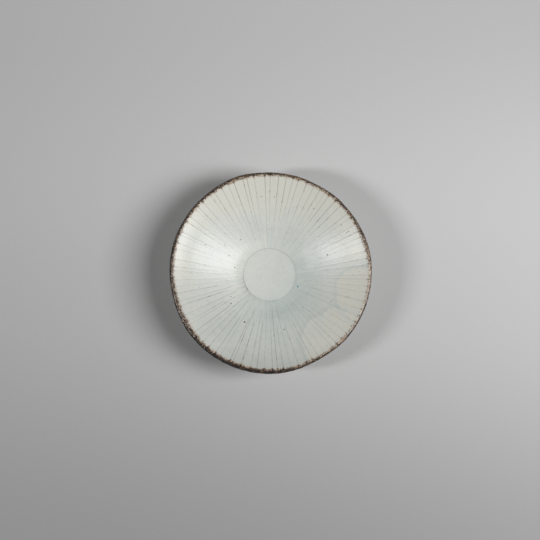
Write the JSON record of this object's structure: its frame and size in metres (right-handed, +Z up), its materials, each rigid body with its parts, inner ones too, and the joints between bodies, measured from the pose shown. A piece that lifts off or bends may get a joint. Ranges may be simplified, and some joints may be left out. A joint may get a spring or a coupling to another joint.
{
  "type": "soy sauce dish",
  "caption": "Small round footed dish for soy sauce: a shallow glazed well with fine radial iron lines around a plain centre disc and an iron-brown lip.",
  "frame": {"origin": "centre of the foot ring's flat face, on the table", "axes": "+Z up along the dish's axis, towards the open well; X and Y are level, and any direction round the axis is alike"},
  "size_m": [0.1, 0.1, 0.025],
  "materials": {
    "stoneware": "bare fired stoneware, matt and slightly sandy",
    "pale_glaze": "satin to gloss pale grey glaze, bluish where thick and cream where thin",
    "iron_brown": "dark iron-brown coat, rough and speckled",
    "iron_grey": "iron pigment, dark grey, satin"
  },
  "bodies": {
    "root": {"clay_body": "stoneware", "foot_ring": "stoneware", "inner_glaze": "pale_glaze", "outer_glaze": "pale_glaze", "foot_well_glaze": "pale_glaze", "iron_rim": "iron_brown", "centre_ring": "iron_grey", "iron_lines": "iron_grey"}
  },
  "joints": []
}
